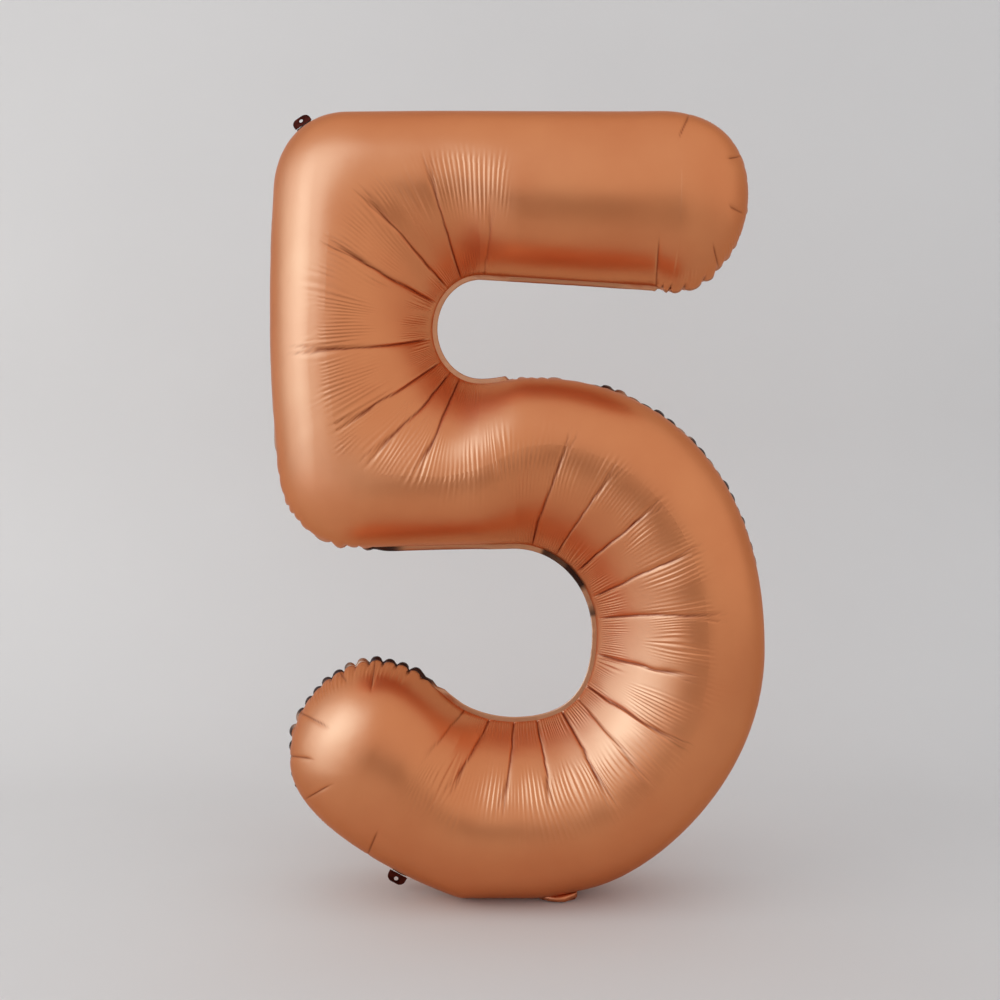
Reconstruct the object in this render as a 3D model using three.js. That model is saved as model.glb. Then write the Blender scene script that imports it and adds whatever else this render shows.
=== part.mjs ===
// Foil number balloon "5": two metallised film panels heat sealed round the edge of the numeral,
// an inflation neck folded under the foot, a self sealing valve inside it and two hanging tabs.
// Millimetres, +Z up. The numeral stands in the XZ plane with its front towards -Y, and the origin is
// on the table under the middle of its box.

import * as THREE from 'three';

// ---- driving dimensions -------------------------------------------------------------------------

const TOP = 854;            // seam line along the top bar
const LEFT = -266;          // seam line down the stem
const RIGHT = 270;          // seam line at the belly of the bowl
const NOTCH = { x: -40, z: 620, rx: 53, rz: 60 };     // round end of the bay under the top bar
// The bay inside the bowl is elliptic, but fuller low on the right, by the share in square.
const BAY = { x: -3, z: 286, rx: 91, rz: 98, square: 0.68 };
const END_LEFT = -248;      // seam line at the round lower left end
const FOOT = { left: -62, right: 14, sag: -3 };       // stretch that the weight presses flat
const NECK_STEP = { x: 20, z: 3 };                    // the seam line steps up here, over the neck
const CROWN_RADIUS = { notch: 150, bowl: 187 };       // spine of the tube round the two bays
const BOWL = { x: -2, z: 283, endAngle: -120 };       // centre of the bowl, and where it runs out straight
const END_RUN = 70;         // straight run of the spine after the bowl
const BAR_END = 166;        // spine stops here in the top bar
const HALF_DEPTH = 88;      // mid plane to the crown of either panel

const FILM = 0.8;           // stand-in wall for the 0.04 mm film
const BORDER_WIDTH = 5.5;   // heat sealed margin outside the seam line
const BORDER_INSET = 2;     // the margin also reaches this far in under the panels
const BORDER_THICK = 0.8;
const GAP = 0.3;            // clearance that keeps neighbouring pieces apart

const STATION_STEP = 22;    // along the spine
const STATION_CLEAR = 9;    // a station this near to a corner of the foot makes way for it
const CAP_RAYS = 7;         // rays round each end of the spine, between its two sides
const SEAM_SAMPLES = 600;   // straight steps that stand for the seam line's curves
const SECTION_ANGLES = [0, 10, 24, 42, 60, 76, 90];   // from the seam line up to the crown, in degrees

const NECK = { x: 44, width: 40, fold: -26, length: 60, corner: 6, ply: 0.4, floor: 0.3 };
const NECK_ZONE = { left: -25, right: 85, clear: 2.5 };   // the margin is trimmed above the folded neck
const COLLAR = { width: 42, back: 3, corner: 1 };         // the neck's root reaches behind the seam plane
const VALVE = { x: 44, width: 30, bottom: 12, length: 100, corner: 8, film: 0.5 };
const TAB = { width: 21, length: 11, corner: 7, hole: 2.3, holeAt: 6, thick: 0.8, standoff: 1 };
const TAB_TOP = { angle: 131, lean: 20 };       // seen from the centre of the notch; it leans back
const TAB_FOOT = { angle: -116, lean: 0 };      // seen from the centre of the bowl

const PANEL_BASE = BORDER_THICK / 2 + GAP;      // a panel's rim stands off the mid plane by this
const CURVE_SEGMENTS = 10;      // per round corner of a plate
const RAD = Math.PI / 180;

// ---- materials ----------------------------------------------------------------------------------

const COLOR = {
  panel: 0xc57d55,
  border: 0x8a4f30,
  collar: 0xb8734a,
  frontPly: 0xb06a42,
  backPly: 0xa05c38,
  tab: 0x6b3a22,
  valveFront: 0xcfd6d8,
  valveBack: 0xb9c2c6,
};

function foil(color) {
  return new THREE.MeshStandardMaterial({ color, roughness: 0.35, metalness: 0.9 });
}

function clearFilm(color) {
  return new THREE.MeshStandardMaterial({ color, roughness: 0.35, transparent: true, opacity: 0.6 });
}

// ---- the seam line and the spine ----------------------------------------------------------------

// Seam line of the numeral, from the top of the stem clockwise and back. Vector2.y stands for Z.
function seamLine() {
  const line = new THREE.Path();
  line.moveTo(LEFT, 765);
  line.bezierCurveTo(LEFT, 815, -235, TOP, -185, TOP);
  line.lineTo(150, TOP);
  line.bezierCurveTo(212, TOP, 252, 820, 252, 762);
  line.bezierCurveTo(252, 704, 208, 659, 168, 663);
  line.lineTo(150, 668);
  line.lineTo(NOTCH.x, NOTCH.z + NOTCH.rz);
  line.absellipse(NOTCH.x, NOTCH.z, NOTCH.rx, NOTCH.rz, Math.PI / 2, 3 * Math.PI / 2, false);
  line.bezierCurveTo(-15, NOTCH.z - NOTCH.rz, 0, 568, 20, 566);
  line.bezierCurveTo(140, 566, RIGHT, 485, RIGHT, 270);
  line.bezierCurveTo(RIGHT, 136, 156, 22, 66, 8);
  line.lineTo(NECK_STEP.x, NECK_STEP.z);
  line.lineTo(FOOT.right, FOOT.sag);
  line.lineTo(FOOT.left, FOOT.sag);
  line.bezierCurveTo(-122, 20, END_LEFT, 82, END_LEFT, 150);
  line.bezierCurveTo(END_LEFT, 209, -204, 254, -150, 254);
  line.bezierCurveTo(-114, 254, -92, 224, -62, 203);
  const floor = BAY.z - BAY.rz;
  const side = BAY.x + BAY.rx;
  line.quadraticCurveTo(-35, floor, BAY.x, floor);
  line.bezierCurveTo(BAY.x + BAY.square * BAY.rx, floor, side, BAY.z - BAY.square * BAY.rz, side, BAY.z);
  line.absellipse(BAY.x, BAY.z, BAY.rx, BAY.rz, 0, Math.PI / 2, false);
  line.lineTo(-172, 380);
  line.bezierCurveTo(-224, 380, -261, 416, -262, 478);
  line.quadraticCurveTo(-275, 620, LEFT, 765);
  return line;
}

// Middle of the tube from the end of the top bar, round the notch and the bowl, to the lower left end.
function spineLine() {
  const line = new THREE.Path();
  const runOut = BOWL.endAngle * RAD;
  const endX = BOWL.x + CROWN_RADIUS.bowl * Math.cos(runOut);
  const endZ = BOWL.z + CROWN_RADIUS.bowl * Math.sin(runOut);
  line.moveTo(BAR_END, NOTCH.z + CROWN_RADIUS.notch);
  line.lineTo(NOTCH.x, NOTCH.z + CROWN_RADIUS.notch);
  line.absarc(NOTCH.x, NOTCH.z, CROWN_RADIUS.notch, Math.PI / 2, 3 * Math.PI / 2, false);
  line.lineTo(BOWL.x, BOWL.z + CROWN_RADIUS.bowl);
  line.absarc(BOWL.x, BOWL.z, CROWN_RADIUS.bowl, Math.PI / 2, runOut, true);
  line.lineTo(endX + END_RUN * Math.sin(runOut), endZ - END_RUN * Math.cos(runOut));
  return line;
}

const seamPoints = seamLine().getSpacedPoints(SEAM_SAMPLES);

// The seam point that a ray from a point first meets, and the outward direction there.
function castToSeam(from, angle) {
  const dir = new THREE.Vector2(Math.cos(angle), Math.sin(angle));
  let nearest = Infinity;
  let normal = null;
  for (let i = 0; i + 1 < seamPoints.length; i += 1) {
    const edge = seamPoints[i + 1].clone().sub(seamPoints[i]);
    const toEdge = seamPoints[i].clone().sub(from);
    const cross = dir.cross(edge);
    if (Math.abs(cross) < 1e-9) continue;
    const reach = toEdge.cross(edge) / cross;
    const along = toEdge.cross(dir) / cross;
    if (reach <= 0 || reach >= nearest || along < 0 || along > 1) continue;
    nearest = reach;
    normal = new THREE.Vector2(-edge.y, edge.x).normalize();
    if (normal.dot(dir) < 0) normal.negate();
  }
  return { point: from.clone().addScaledVector(dir, nearest), normal };
}

// Where the spine carries its stations: evenly spaced, and one over each corner of the pressed foot.
function stationLengths(total) {
  const beforeBowl = BAR_END - NOTCH.x + Math.PI * CROWN_RADIUS.notch + BOWL.x - NOTCH.x;
  const feet = [NECK_STEP.x, FOOT.right, FOOT.left].map((x) => {
    const angle = Math.atan2(FOOT.sag - BOWL.z, x - BOWL.x);
    return beforeBowl + CROWN_RADIUS.bowl * (Math.PI / 2 - angle);
  });
  const count = Math.round(total / STATION_STEP);
  const even = Array.from({ length: count + 1 }, (_, i) => total * i / count);
  const kept = even.filter((length) => feet.every((foot) => Math.abs(length - foot) > STATION_CLEAR));
  return [...kept, ...feet].sort((a, b) => a - b);
}

// Rays from the spine to the seam, once round the numeral. Rays of one cap share the last spine point.
function ringOfRays() {
  const spine = spineLine();
  const total = spine.getLength();
  const stations = stationLengths(total).map((length) => {
    const heading = spine.getTangentAt(length / total);
    return { at: spine.getPointAt(length / total), angle: Math.atan2(heading.y, heading.x) };
  });
  const count = stations.length - 1;
  const rays = [];
  const cast = (station, angle) => {
    rays.push({ station, seam: castToSeam(stations[station].at, angle).point });
  };
  const cap = (station, firstAngle) => {
    for (let k = 1; k <= CAP_RAYS; k += 1) {
      cast(station, firstAngle - Math.PI * k / (CAP_RAYS + 1));
    }
  };
  for (let i = 0; i <= count; i += 1) cast(i, stations[i].angle + Math.PI / 2);
  cap(count, stations[count].angle + Math.PI / 2);
  for (let i = count; i >= 0; i -= 1) cast(i, stations[i].angle - Math.PI / 2);
  cap(0, stations[0].angle - Math.PI / 2);
  return { rays, stations };
}

const { rays, stations } = ringOfRays();

// ---- mesh helpers -------------------------------------------------------------------------------

// A named mesh from points and triangles; the triangles are turned round if they face inwards.
function solid(name, points, triangles, material) {
  let volume = 0;
  for (const [a, b, c] of triangles) {
    volume += points[a].dot(new THREE.Vector3().crossVectors(points[b], points[c]));
  }
  const order = volume > 0 ? triangles : triangles.map(([a, b, c]) => [a, c, b]);
  const geometry = new THREE.BufferGeometry();
  const coordinates = points.flatMap((p) => p.toArray());
  geometry.setAttribute('position', new THREE.Float32BufferAttribute(coordinates, 3));
  geometry.setIndex(order.flat());
  geometry.computeVertexNormals();
  const mesh = new THREE.Mesh(geometry, material);
  mesh.name = name;
  return mesh;
}

function quad(a, b, c, d) {
  return [[a, b, c], [a, c, d]];
}

// Thin plate: an outline in its own plane, with holes, given a thickness. It lies from z = 0 upwards.
function plate(name, shape, depth, material) {
  const options = { depth, bevelEnabled: false, curveSegments: CURVE_SEGMENTS };
  const geometry = new THREE.ExtrudeGeometry(shape, options);
  const mesh = new THREE.Mesh(geometry, material);
  mesh.name = name;
  return mesh;
}

// ---- the two film panels ------------------------------------------------------------------------

// One skin of a panel: rows of points from the seam line to the crown, then the spine points.
function skin(side, inset, points) {
  const rows = [];
  for (const degrees of SECTION_ANGLES.slice(0, -1)) {
    const out = Math.cos(degrees * RAD);
    const up = Math.sin(degrees * RAD);
    rows.push(rays.map(({ station, seam }) => {
      const centre = stations[station].at;
      const arm = seam.clone().sub(centre);
      const place = centre.clone().addScaledVector(arm, out * (1 - inset / arm.length()));
      const y = side * (PANEL_BASE + up * (HALF_DEPTH - inset));
      points.push(new THREE.Vector3(place.x, y, Math.max(place.y, inset)));
      return points.length - 1;
    }));
  }
  const spine = stations.map(({ at }) => {
    points.push(new THREE.Vector3(at.x, side * (PANEL_BASE + HALF_DEPTH - inset), at.y));
    return points.length - 1;
  });
  rows.push(rays.map(({ station }) => spine[station]));
  return rows;
}

function skinTriangles(rows, triangles, inward) {
  const add = (a, b, c) => triangles.push(inward ? [a, c, b] : [a, b, c]);
  for (let j = 0; j + 1 < rows.length; j += 1) {
    for (let i = 0; i < rays.length; i += 1) {
      const next = (i + 1) % rays.length;
      add(rows[j][i], rows[j][next], rows[j + 1][next]);
      if (rows[j + 1][i] !== rows[j + 1][next]) add(rows[j][i], rows[j + 1][next], rows[j + 1][i]);
    }
  }
}

function panel(name, side) {
  const points = [];
  const triangles = [];
  const outer = skin(side, 0, points);
  const inner = skin(side, FILM, points);
  skinTriangles(outer, triangles, false);
  skinTriangles(inner, triangles, true);
  for (let i = 0; i < rays.length; i += 1) {
    const next = (i + 1) % rays.length;
    triangles.push(...quad(outer[0][next], outer[0][i], inner[0][i], inner[0][next]));
  }
  return solid(name, points, triangles, foil(COLOR.panel));
}

// ---- the heat sealed margin ---------------------------------------------------------------------

function borderFloor(x) {
  return x > NECK_ZONE.left && x < NECK_ZONE.right ? NECK_ZONE.clear : 0;
}

// Both films fused flat together outside the seam line, trimmed where the balloon stands.
function border() {
  const points = [];
  const loops = [];
  const corners = [[-BORDER_INSET, -1], [BORDER_WIDTH, -1], [BORDER_WIDTH, 1], [-BORDER_INSET, 1]];
  for (let i = 0; i < rays.length; i += 1) {
    const before = rays[(i + rays.length - 1) % rays.length].seam;
    const after = rays[(i + 1) % rays.length].seam;
    const along = after.clone().sub(before).normalize();
    const outward = new THREE.Vector2(along.y, -along.x);
    if (outward.dot(rays[i].seam.clone().sub(stations[rays[i].station].at)) < 0) outward.negate();
    loops.push(corners.map(([reach, side]) => {
      const place = rays[i].seam.clone().addScaledVector(outward, reach);
      const floor = borderFloor(place.x) + (reach < 0 ? FILM : 0);
      points.push(new THREE.Vector3(place.x, side * BORDER_THICK / 2, Math.max(place.y, floor)));
      return points.length - 1;
    }));
  }
  const triangles = [];
  for (let i = 0; i < loops.length; i += 1) {
    const next = loops[(i + 1) % loops.length];
    for (let k = 0; k < corners.length; k += 1) {
      const m = (k + 1) % corners.length;
      triangles.push(...quad(loops[i][k], loops[i][m], next[m], next[k]));
    }
  }
  return solid('heat_sealed_border', points, triangles, foil(COLOR.border));
}

// ---- inflation neck, valve and tabs -------------------------------------------------------------

function roundedStrip(width, length, radius) {
  const strip = new THREE.Shape();
  const half = width / 2;
  strip.moveTo(-half, 0);
  strip.lineTo(half, 0);
  strip.lineTo(half, length - radius);
  strip.absarc(half - radius, length - radius, radius, 0, Math.PI / 2, false);
  strip.lineTo(radius - half, length);
  strip.absarc(radius - half, length - radius, radius, Math.PI / 2, Math.PI, false);
  strip.closePath();
  return strip;
}

// The neck leaves the foot of the bowl, folds at the front and lies back under the belly.
function neckPieces() {
  const layers = [
    ['inflation_neck_front_ply', NECK.width, NECK.length, NECK.corner, COLOR.frontPly],
    ['inflation_neck_back_ply', NECK.width, NECK.length, NECK.corner, COLOR.backPly],
    ['inflation_neck_collar', COLLAR.width, COLLAR.back - NECK.fold, COLLAR.corner, COLOR.collar],
  ];
  return layers.map(([name, width, length, corner, color], layer) => {
    const piece = plate(name, roundedStrip(width, length, corner), NECK.ply, foil(color));
    piece.position.set(NECK.x, NECK.fold, NECK.floor + layer * (NECK.ply + GAP));
    return piece;
  });
}

// Two plain film strips that the gas presses together inside the belly, above the neck.
function valvePieces() {
  const films = [
    ['valve_film_front', -GAP / 2, COLOR.valveFront],
    ['valve_film_back', GAP / 2 + VALVE.film, COLOR.valveBack],
  ];
  return films.map(([name, y, color]) => {
    const shape = roundedStrip(VALVE.width, VALVE.length, VALVE.corner);
    const strip = plate(name, shape, VALVE.film, clearFilm(color));
    strip.rotation.x = Math.PI / 2;
    strip.position.set(VALVE.x, y, VALVE.bottom);
    return strip;
  });
}

// Punched tongue on the margin for a hanging thread. Its root stands off the margin, so it can bend,
// and it leans back from the mid plane by some degrees.
function hangingTab(name, centre, crown, { angle, lean }) {
  const ray = angle * RAD;
  const from = new THREE.Vector2(centre.x + crown * Math.cos(ray), centre.z + crown * Math.sin(ray));
  const hit = castToSeam(from, ray);
  const root = hit.point.clone().addScaledVector(hit.normal, BORDER_WIDTH + TAB.standoff);
  const tongue = roundedStrip(TAB.width, TAB.length, TAB.corner);
  const hole = new THREE.Path();
  hole.absarc(0, TAB.holeAt, TAB.hole, 0, 2 * Math.PI, true);
  tongue.holes.push(hole);
  const tab = plate(name, tongue, TAB.thick, foil(COLOR.tab));
  tab.position.z = -TAB.thick / 2;
  const leaning = new THREE.Group();
  leaning.add(tab);
  leaning.rotation.x = -lean * RAD;
  const turned = new THREE.Group();
  turned.add(leaning);
  turned.rotation.set(Math.PI / 2, 0, Math.atan2(hit.normal.y, hit.normal.x) - Math.PI / 2, 'YXZ');
  turned.position.set(root.x, 0, root.y);
  return turned;
}

// ---- assembly -----------------------------------------------------------------------------------

const balloon = new THREE.Group();
balloon.add(panel('front_foil_panel', -1));
balloon.add(panel('back_foil_panel', 1));
balloon.add(border());
balloon.add(...neckPieces());
balloon.add(...valvePieces());
balloon.add(hangingTab('hanging_tab_top_left', NOTCH, CROWN_RADIUS.notch, TAB_TOP));
balloon.add(hangingTab('hanging_tab_bottom_left', BOWL, CROWN_RADIUS.bowl, TAB_FOOT));

export default balloon;
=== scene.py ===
import math

import bmesh
import bpy
import numpy as np
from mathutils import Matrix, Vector


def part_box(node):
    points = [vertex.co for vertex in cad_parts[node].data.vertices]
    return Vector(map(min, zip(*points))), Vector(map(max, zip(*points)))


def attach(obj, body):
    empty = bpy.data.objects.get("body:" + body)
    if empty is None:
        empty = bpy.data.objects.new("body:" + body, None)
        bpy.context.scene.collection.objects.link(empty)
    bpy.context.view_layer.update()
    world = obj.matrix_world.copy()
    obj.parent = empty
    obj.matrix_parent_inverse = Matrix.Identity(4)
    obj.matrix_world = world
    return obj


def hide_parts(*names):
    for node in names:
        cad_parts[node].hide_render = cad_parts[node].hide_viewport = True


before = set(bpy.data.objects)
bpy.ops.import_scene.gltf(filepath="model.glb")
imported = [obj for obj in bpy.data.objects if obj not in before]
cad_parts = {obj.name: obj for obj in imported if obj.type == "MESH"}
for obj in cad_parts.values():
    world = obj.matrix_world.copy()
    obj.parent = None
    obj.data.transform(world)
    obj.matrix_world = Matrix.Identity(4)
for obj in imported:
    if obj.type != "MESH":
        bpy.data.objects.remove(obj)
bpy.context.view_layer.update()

# Foil number balloon "5". Metres, x to the right, z up; the heat sealed seam lies in the plane y = 0
# and the front faces -y. Each film panel is shaped in three steps: the smooth inflated tube, the folds
# that gather the film on the inner side of each bend, and the puckers along the outer seam.

# ---- driving dimensions ---------------------------------------------------------------------------

TOP = 0.854
LEFT = -0.266
RIGHT = 0.270
NOTCH = (-0.040, 0.620)           # round end of the upper bay
NOTCH_RADII = (0.053, 0.060)
BAY = (-0.003, 0.286)             # round bay inside the bowl
BAY_RADII = (0.091, 0.098)
BAY_SQUARE = 0.68
END_LEFT = -0.248
FOOT = (-0.062, 0.014)            # the weight presses the film flat between these
BAR_END = 0.166
NOTCH_SPINE = 0.150
BOWL = (-0.002, 0.283)
BOWL_SPINE = 0.187
BOWL_END = -120
END_RUN = 0.070

FULL_DEPTH = 0.088                # mid plane to crown where the tube runs straight
BEND_DEPTH = 0.080                # gathered film is pulled in round the bends
CROWN_SHIFT = 0.09                # and its crown moves outwards by this share of the width
SLACK = 0.85                      # how far the inner side of a bend is pulled straight
FILM_GAP = 0.0002                 # the border lies between the two films
BORDER_WIDTH = 0.0055
TAB_BRIDGE = 0.0064               # the margin reaches this far out to the root of a hanging tab

ROWS = 30                         # steps from the seam to the crown
GATHER_STEP = 0.00085             # between rays in the bends, along the spine
PLAIN_STEP = 0.0040               # between rays elsewhere
CAP_RAYS = 300                    # round each end
FINE_ROWS = 9                     # rows next to the outer seam that keep every ray

FOLD_DEPTH = 0.0025               # the long folds of the bends
SHORT_FOLD_DEPTH = 0.0019
COMB_HEIGHT = 0.00033             # the fine wrinkles between the long folds
END_COMB_HEIGHT = 0.00046
END_COMB_PITCH = 0.0046
LOBE_HEIGHT = 0.0040              # the film swells this far between two puckers of the outer seam
PINCH_DEPTH = 0.0018
PUCKER_PITCH = 0.0155
PUCKER_DRIFT = 0.0085             # how far a pucker wanders from its even place
PUCKER_SEED = 21

VIEW_CENTRE = (-0.0186, 0.4321)   # the folds are laid out as they are seen from straight in front,
VIEW_DISTANCE = 1.12              # from this far away

# Folds round the notch and round the bay. Each runs from the inner seam outwards: its angle about the
# centre of the bend at the seam and at its far end, in degrees, the radius of that end, its strength.
NOTCH_FOLDS = [
    (86, 84, 0.140, 0.4), (111, 107, 0.199, 0.9), (129, 131, 0.204, 0.9), (149.5, 150, 0.196, 1.0),
    (191, 186.5, 0.209, 1.0), (219, 214, 0.193, 1.0), (235, 228, 0.193, 1.0), (247, 246, 0.178, 1.0),
]
BAY_FOLDS = [
    (79, 73.5, 0.228, 1.0), (62, 57.7, 0.216, 0.9), (44, 41.3, 0.215, 1.0), (24, 24.3, 0.224, 0.9),
    (9, 4, 0.229, 0.9), (-15.5, -14.6, 0.205, 0.9), (-37.5, -34, 0.228, 1.0), (-46.5, -49, 0.224, 0.6),
    (-59.5, -61, 0.217, 1.0), (-75.8, -78.5, 0.199, 0.9), (-90.5, -95, 0.199, 0.9),
    (-106, -113, 0.192, 0.9), (-122.5, -126.5, 0.181, 0.8), (-135, -136, 0.142, 0.5),
]
FAN_CENTRE = (-0.002, 0.287)      # the bay's folds point at this
# Short folds at the round ends: from the seam inwards.
END_FOLDS = [
    ((0.153, 0.668), (0.157, 0.725)), ((0.222, 0.691), (0.216, 0.716)), ((0.247, 0.749), (0.233, 0.756)),
    ((0.243, 0.810), (0.232, 0.808)), ((0.188, 0.853), (0.177, 0.829)), ((-0.156, 0.255), (-0.161, 0.220)),
    ((-0.197, 0.246), (-0.186, 0.230)), ((-0.236, 0.197), (-0.205, 0.181)),
    ((-0.248, 0.150), (-0.224, 0.147)), ((-0.229, 0.105), (-0.203, 0.120)),
    ((-0.163, 0.045), (-0.153, 0.069)),
]

COPPER = (0.77, 0.277, 0.108, 1.0)
EDGE_TINT = (0.80, 0.50, 0.36, 1.0)
# painted shadow: the foil's base colour turns to this dark red inside closed folds and pinched creases
PAINTED_CREASE_SHADOW = (0.26, 0.050, 0.016, 1.0)
DARK_BRONZE = (0.045, 0.014, 0.008, 1.0)
WARM_WASH = (1.0, 0.97, 0.93)     # light that only matt surfaces take
COOL_GLOW = (0.21, 0.57, 1.12)    # light that only gloss takes: on copper its highlight looks near neutral


# ---- plane curves ---------------------------------------------------------------------------------

def bezier(a, b, c, d, steps=40):
    t = np.linspace(0, 1, steps + 1)[:, None]
    a, b, c, d = (np.array(p, float) for p in (a, b, c, d))
    return (1 - t) ** 3 * a + 3 * (1 - t) ** 2 * t * b + 3 * (1 - t) * t ** 2 * c + t ** 3 * d


def arc(centre, radii, start, end, steps=120):
    t = np.radians(np.linspace(start, end, steps + 1))
    return np.stack([centre[0] + radii[0] * np.cos(t), centre[1] + radii[1] * np.sin(t)], axis=1)


def line(a, b):
    return np.array([a, b], float)


def joined(stretches):
    """One run of points from several, without the doubled ends."""
    return np.concatenate([s[:-1] for s in stretches[:-1]] + [stretches[-1]])


def distances(points):
    return np.concatenate([[0], np.cumsum(np.linalg.norm(np.diff(points, axis=0), axis=1))])


def at_distances(points, places):
    along = distances(points)
    return np.stack([np.interp(places, along, points[:, k]) for k in (0, 1)], axis=1)


def eased_loop(run, step, reach):
    """A closed run of points, evenly spaced, with its corners eased over the reach."""
    length = distances(run)[-1]
    count = int(round(length / step))
    even = at_distances(run, np.arange(count) * length / count)
    for _ in range(int((reach / step) ** 2 / 2)):
        even = 0.5 * even + 0.25 * (np.roll(even, 1, axis=0) + np.roll(even, -1, axis=0))
    return even


def seam_line():
    """The seam, from the top of the stem clockwise and back."""
    notch_floor = NOTCH[1] - NOTCH_RADII[1]
    bay_floor = BAY[1] - BAY_RADII[1]
    bay_side = BAY[0] + BAY_RADII[0]
    run = joined([
        bezier((LEFT, 0.765), (LEFT, 0.815), (-0.235, TOP), (-0.185, TOP)),
        line((-0.185, TOP), (0.150, TOP)),
        bezier((0.150, TOP), (0.212, TOP), (0.252, 0.820), (0.252, 0.762)),
        bezier((0.252, 0.762), (0.252, 0.704), (0.208, 0.659), (0.168, 0.663)),
        line((0.168, 0.663), (0.150, 0.668)),
        line((0.150, 0.668), (NOTCH[0], NOTCH[1] + NOTCH_RADII[1])),
        arc(NOTCH, NOTCH_RADII, 90, 270),
        bezier((NOTCH[0], notch_floor), (-0.015, notch_floor), (0, 0.568), (0.020, 0.566)),
        bezier((0.020, 0.566), (0.140, 0.566), (RIGHT, 0.485), (RIGHT, 0.270)),
        bezier((RIGHT, 0.270), (RIGHT, 0.136), (0.156, 0.022), (0.066, 0.008)),
        bezier((0.066, 0.008), (0.045, 0.003), (0.030, 0.0), (FOOT[1], 0.0)),
        line((FOOT[1], 0.0), (FOOT[0], 0.0)),
        bezier((FOOT[0], 0.0), (-0.122, 0.020), (END_LEFT, 0.082), (END_LEFT, 0.150)),
        bezier((END_LEFT, 0.150), (END_LEFT, 0.209), (-0.204, 0.254), (-0.150, 0.254)),
        bezier((-0.150, 0.254), (-0.114, 0.254), (-0.092, 0.224), (-0.062, 0.203)),
        bezier((-0.062, 0.203), (-0.044, 0.193), (-0.024, bay_floor), (BAY[0], bay_floor)),
        bezier((BAY[0], bay_floor), (BAY[0] + BAY_SQUARE * BAY_RADII[0], bay_floor),
               (bay_side, BAY[1] - BAY_SQUARE * BAY_RADII[1]), (bay_side, BAY[1])),
        arc(BAY, BAY_RADII, 0, 90),
        line((BAY[0], BAY[1] + BAY_RADII[1]), (-0.172, 0.380)),
        bezier((-0.172, 0.380), (-0.224, 0.380), (-0.261, 0.416), (-0.262, 0.478)),
        bezier((-0.262, 0.478), (-0.271, 0.573), (-0.272, 0.670), (LEFT, 0.765)),
    ])
    return eased_loop(run, 0.002, 0.006)


def spine_line():
    """Middle of the tube, from the end of the top bar to the round lower left end."""
    turn = math.radians(BOWL_END)
    end = (BOWL[0] + BOWL_SPINE * math.cos(turn), BOWL[1] + BOWL_SPINE * math.sin(turn))
    out = (end[0] + END_RUN * math.sin(turn), end[1] - END_RUN * math.cos(turn))
    return joined([
        line((BAR_END, NOTCH[1] + NOTCH_SPINE), (NOTCH[0], NOTCH[1] + NOTCH_SPINE)),
        arc(NOTCH, (NOTCH_SPINE, NOTCH_SPINE), 90, 270, 240),
        line((NOTCH[0], NOTCH[1] - NOTCH_SPINE), (BOWL[0], BOWL[1] + BOWL_SPINE)),
        arc(BOWL, (BOWL_SPINE, BOWL_SPINE), 90, BOWL_END, 320),
        line(end, out),
    ])


def ease(x, low, high):
    """0 below low, 1 above high, and smooth between."""
    t = np.clip((x - low) / (high - low), 0, 1)
    return t * t * (3 - 2 * t)


SEAM = seam_line()


def cast(start, angles):
    """Where rays from points, at angles, first meet the seam."""
    a, b = SEAM, np.roll(SEAM, -1, axis=0)
    edge = b - a
    hits = np.empty((len(angles), 2))
    for k, (p, angle) in enumerate(zip(start, angles)):
        d = np.array([math.cos(angle), math.sin(angle)])
        cross = d[0] * edge[:, 1] - d[1] * edge[:, 0]
        cross = np.where(np.abs(cross) < 1e-12, 1e-12, cross)
        to = a - p
        reach = (to[:, 0] * edge[:, 1] - to[:, 1] * edge[:, 0]) / cross
        along = (to[:, 0] * d[1] - to[:, 1] * d[0]) / cross
        good = (reach > 1e-6) & (along >= -1e-9) & (along <= 1 + 1e-9)
        hits[k] = p + d * reach[good].min()
    return hits


# ---- rays from the crown to the seam --------------------------------------------------------------

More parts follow.
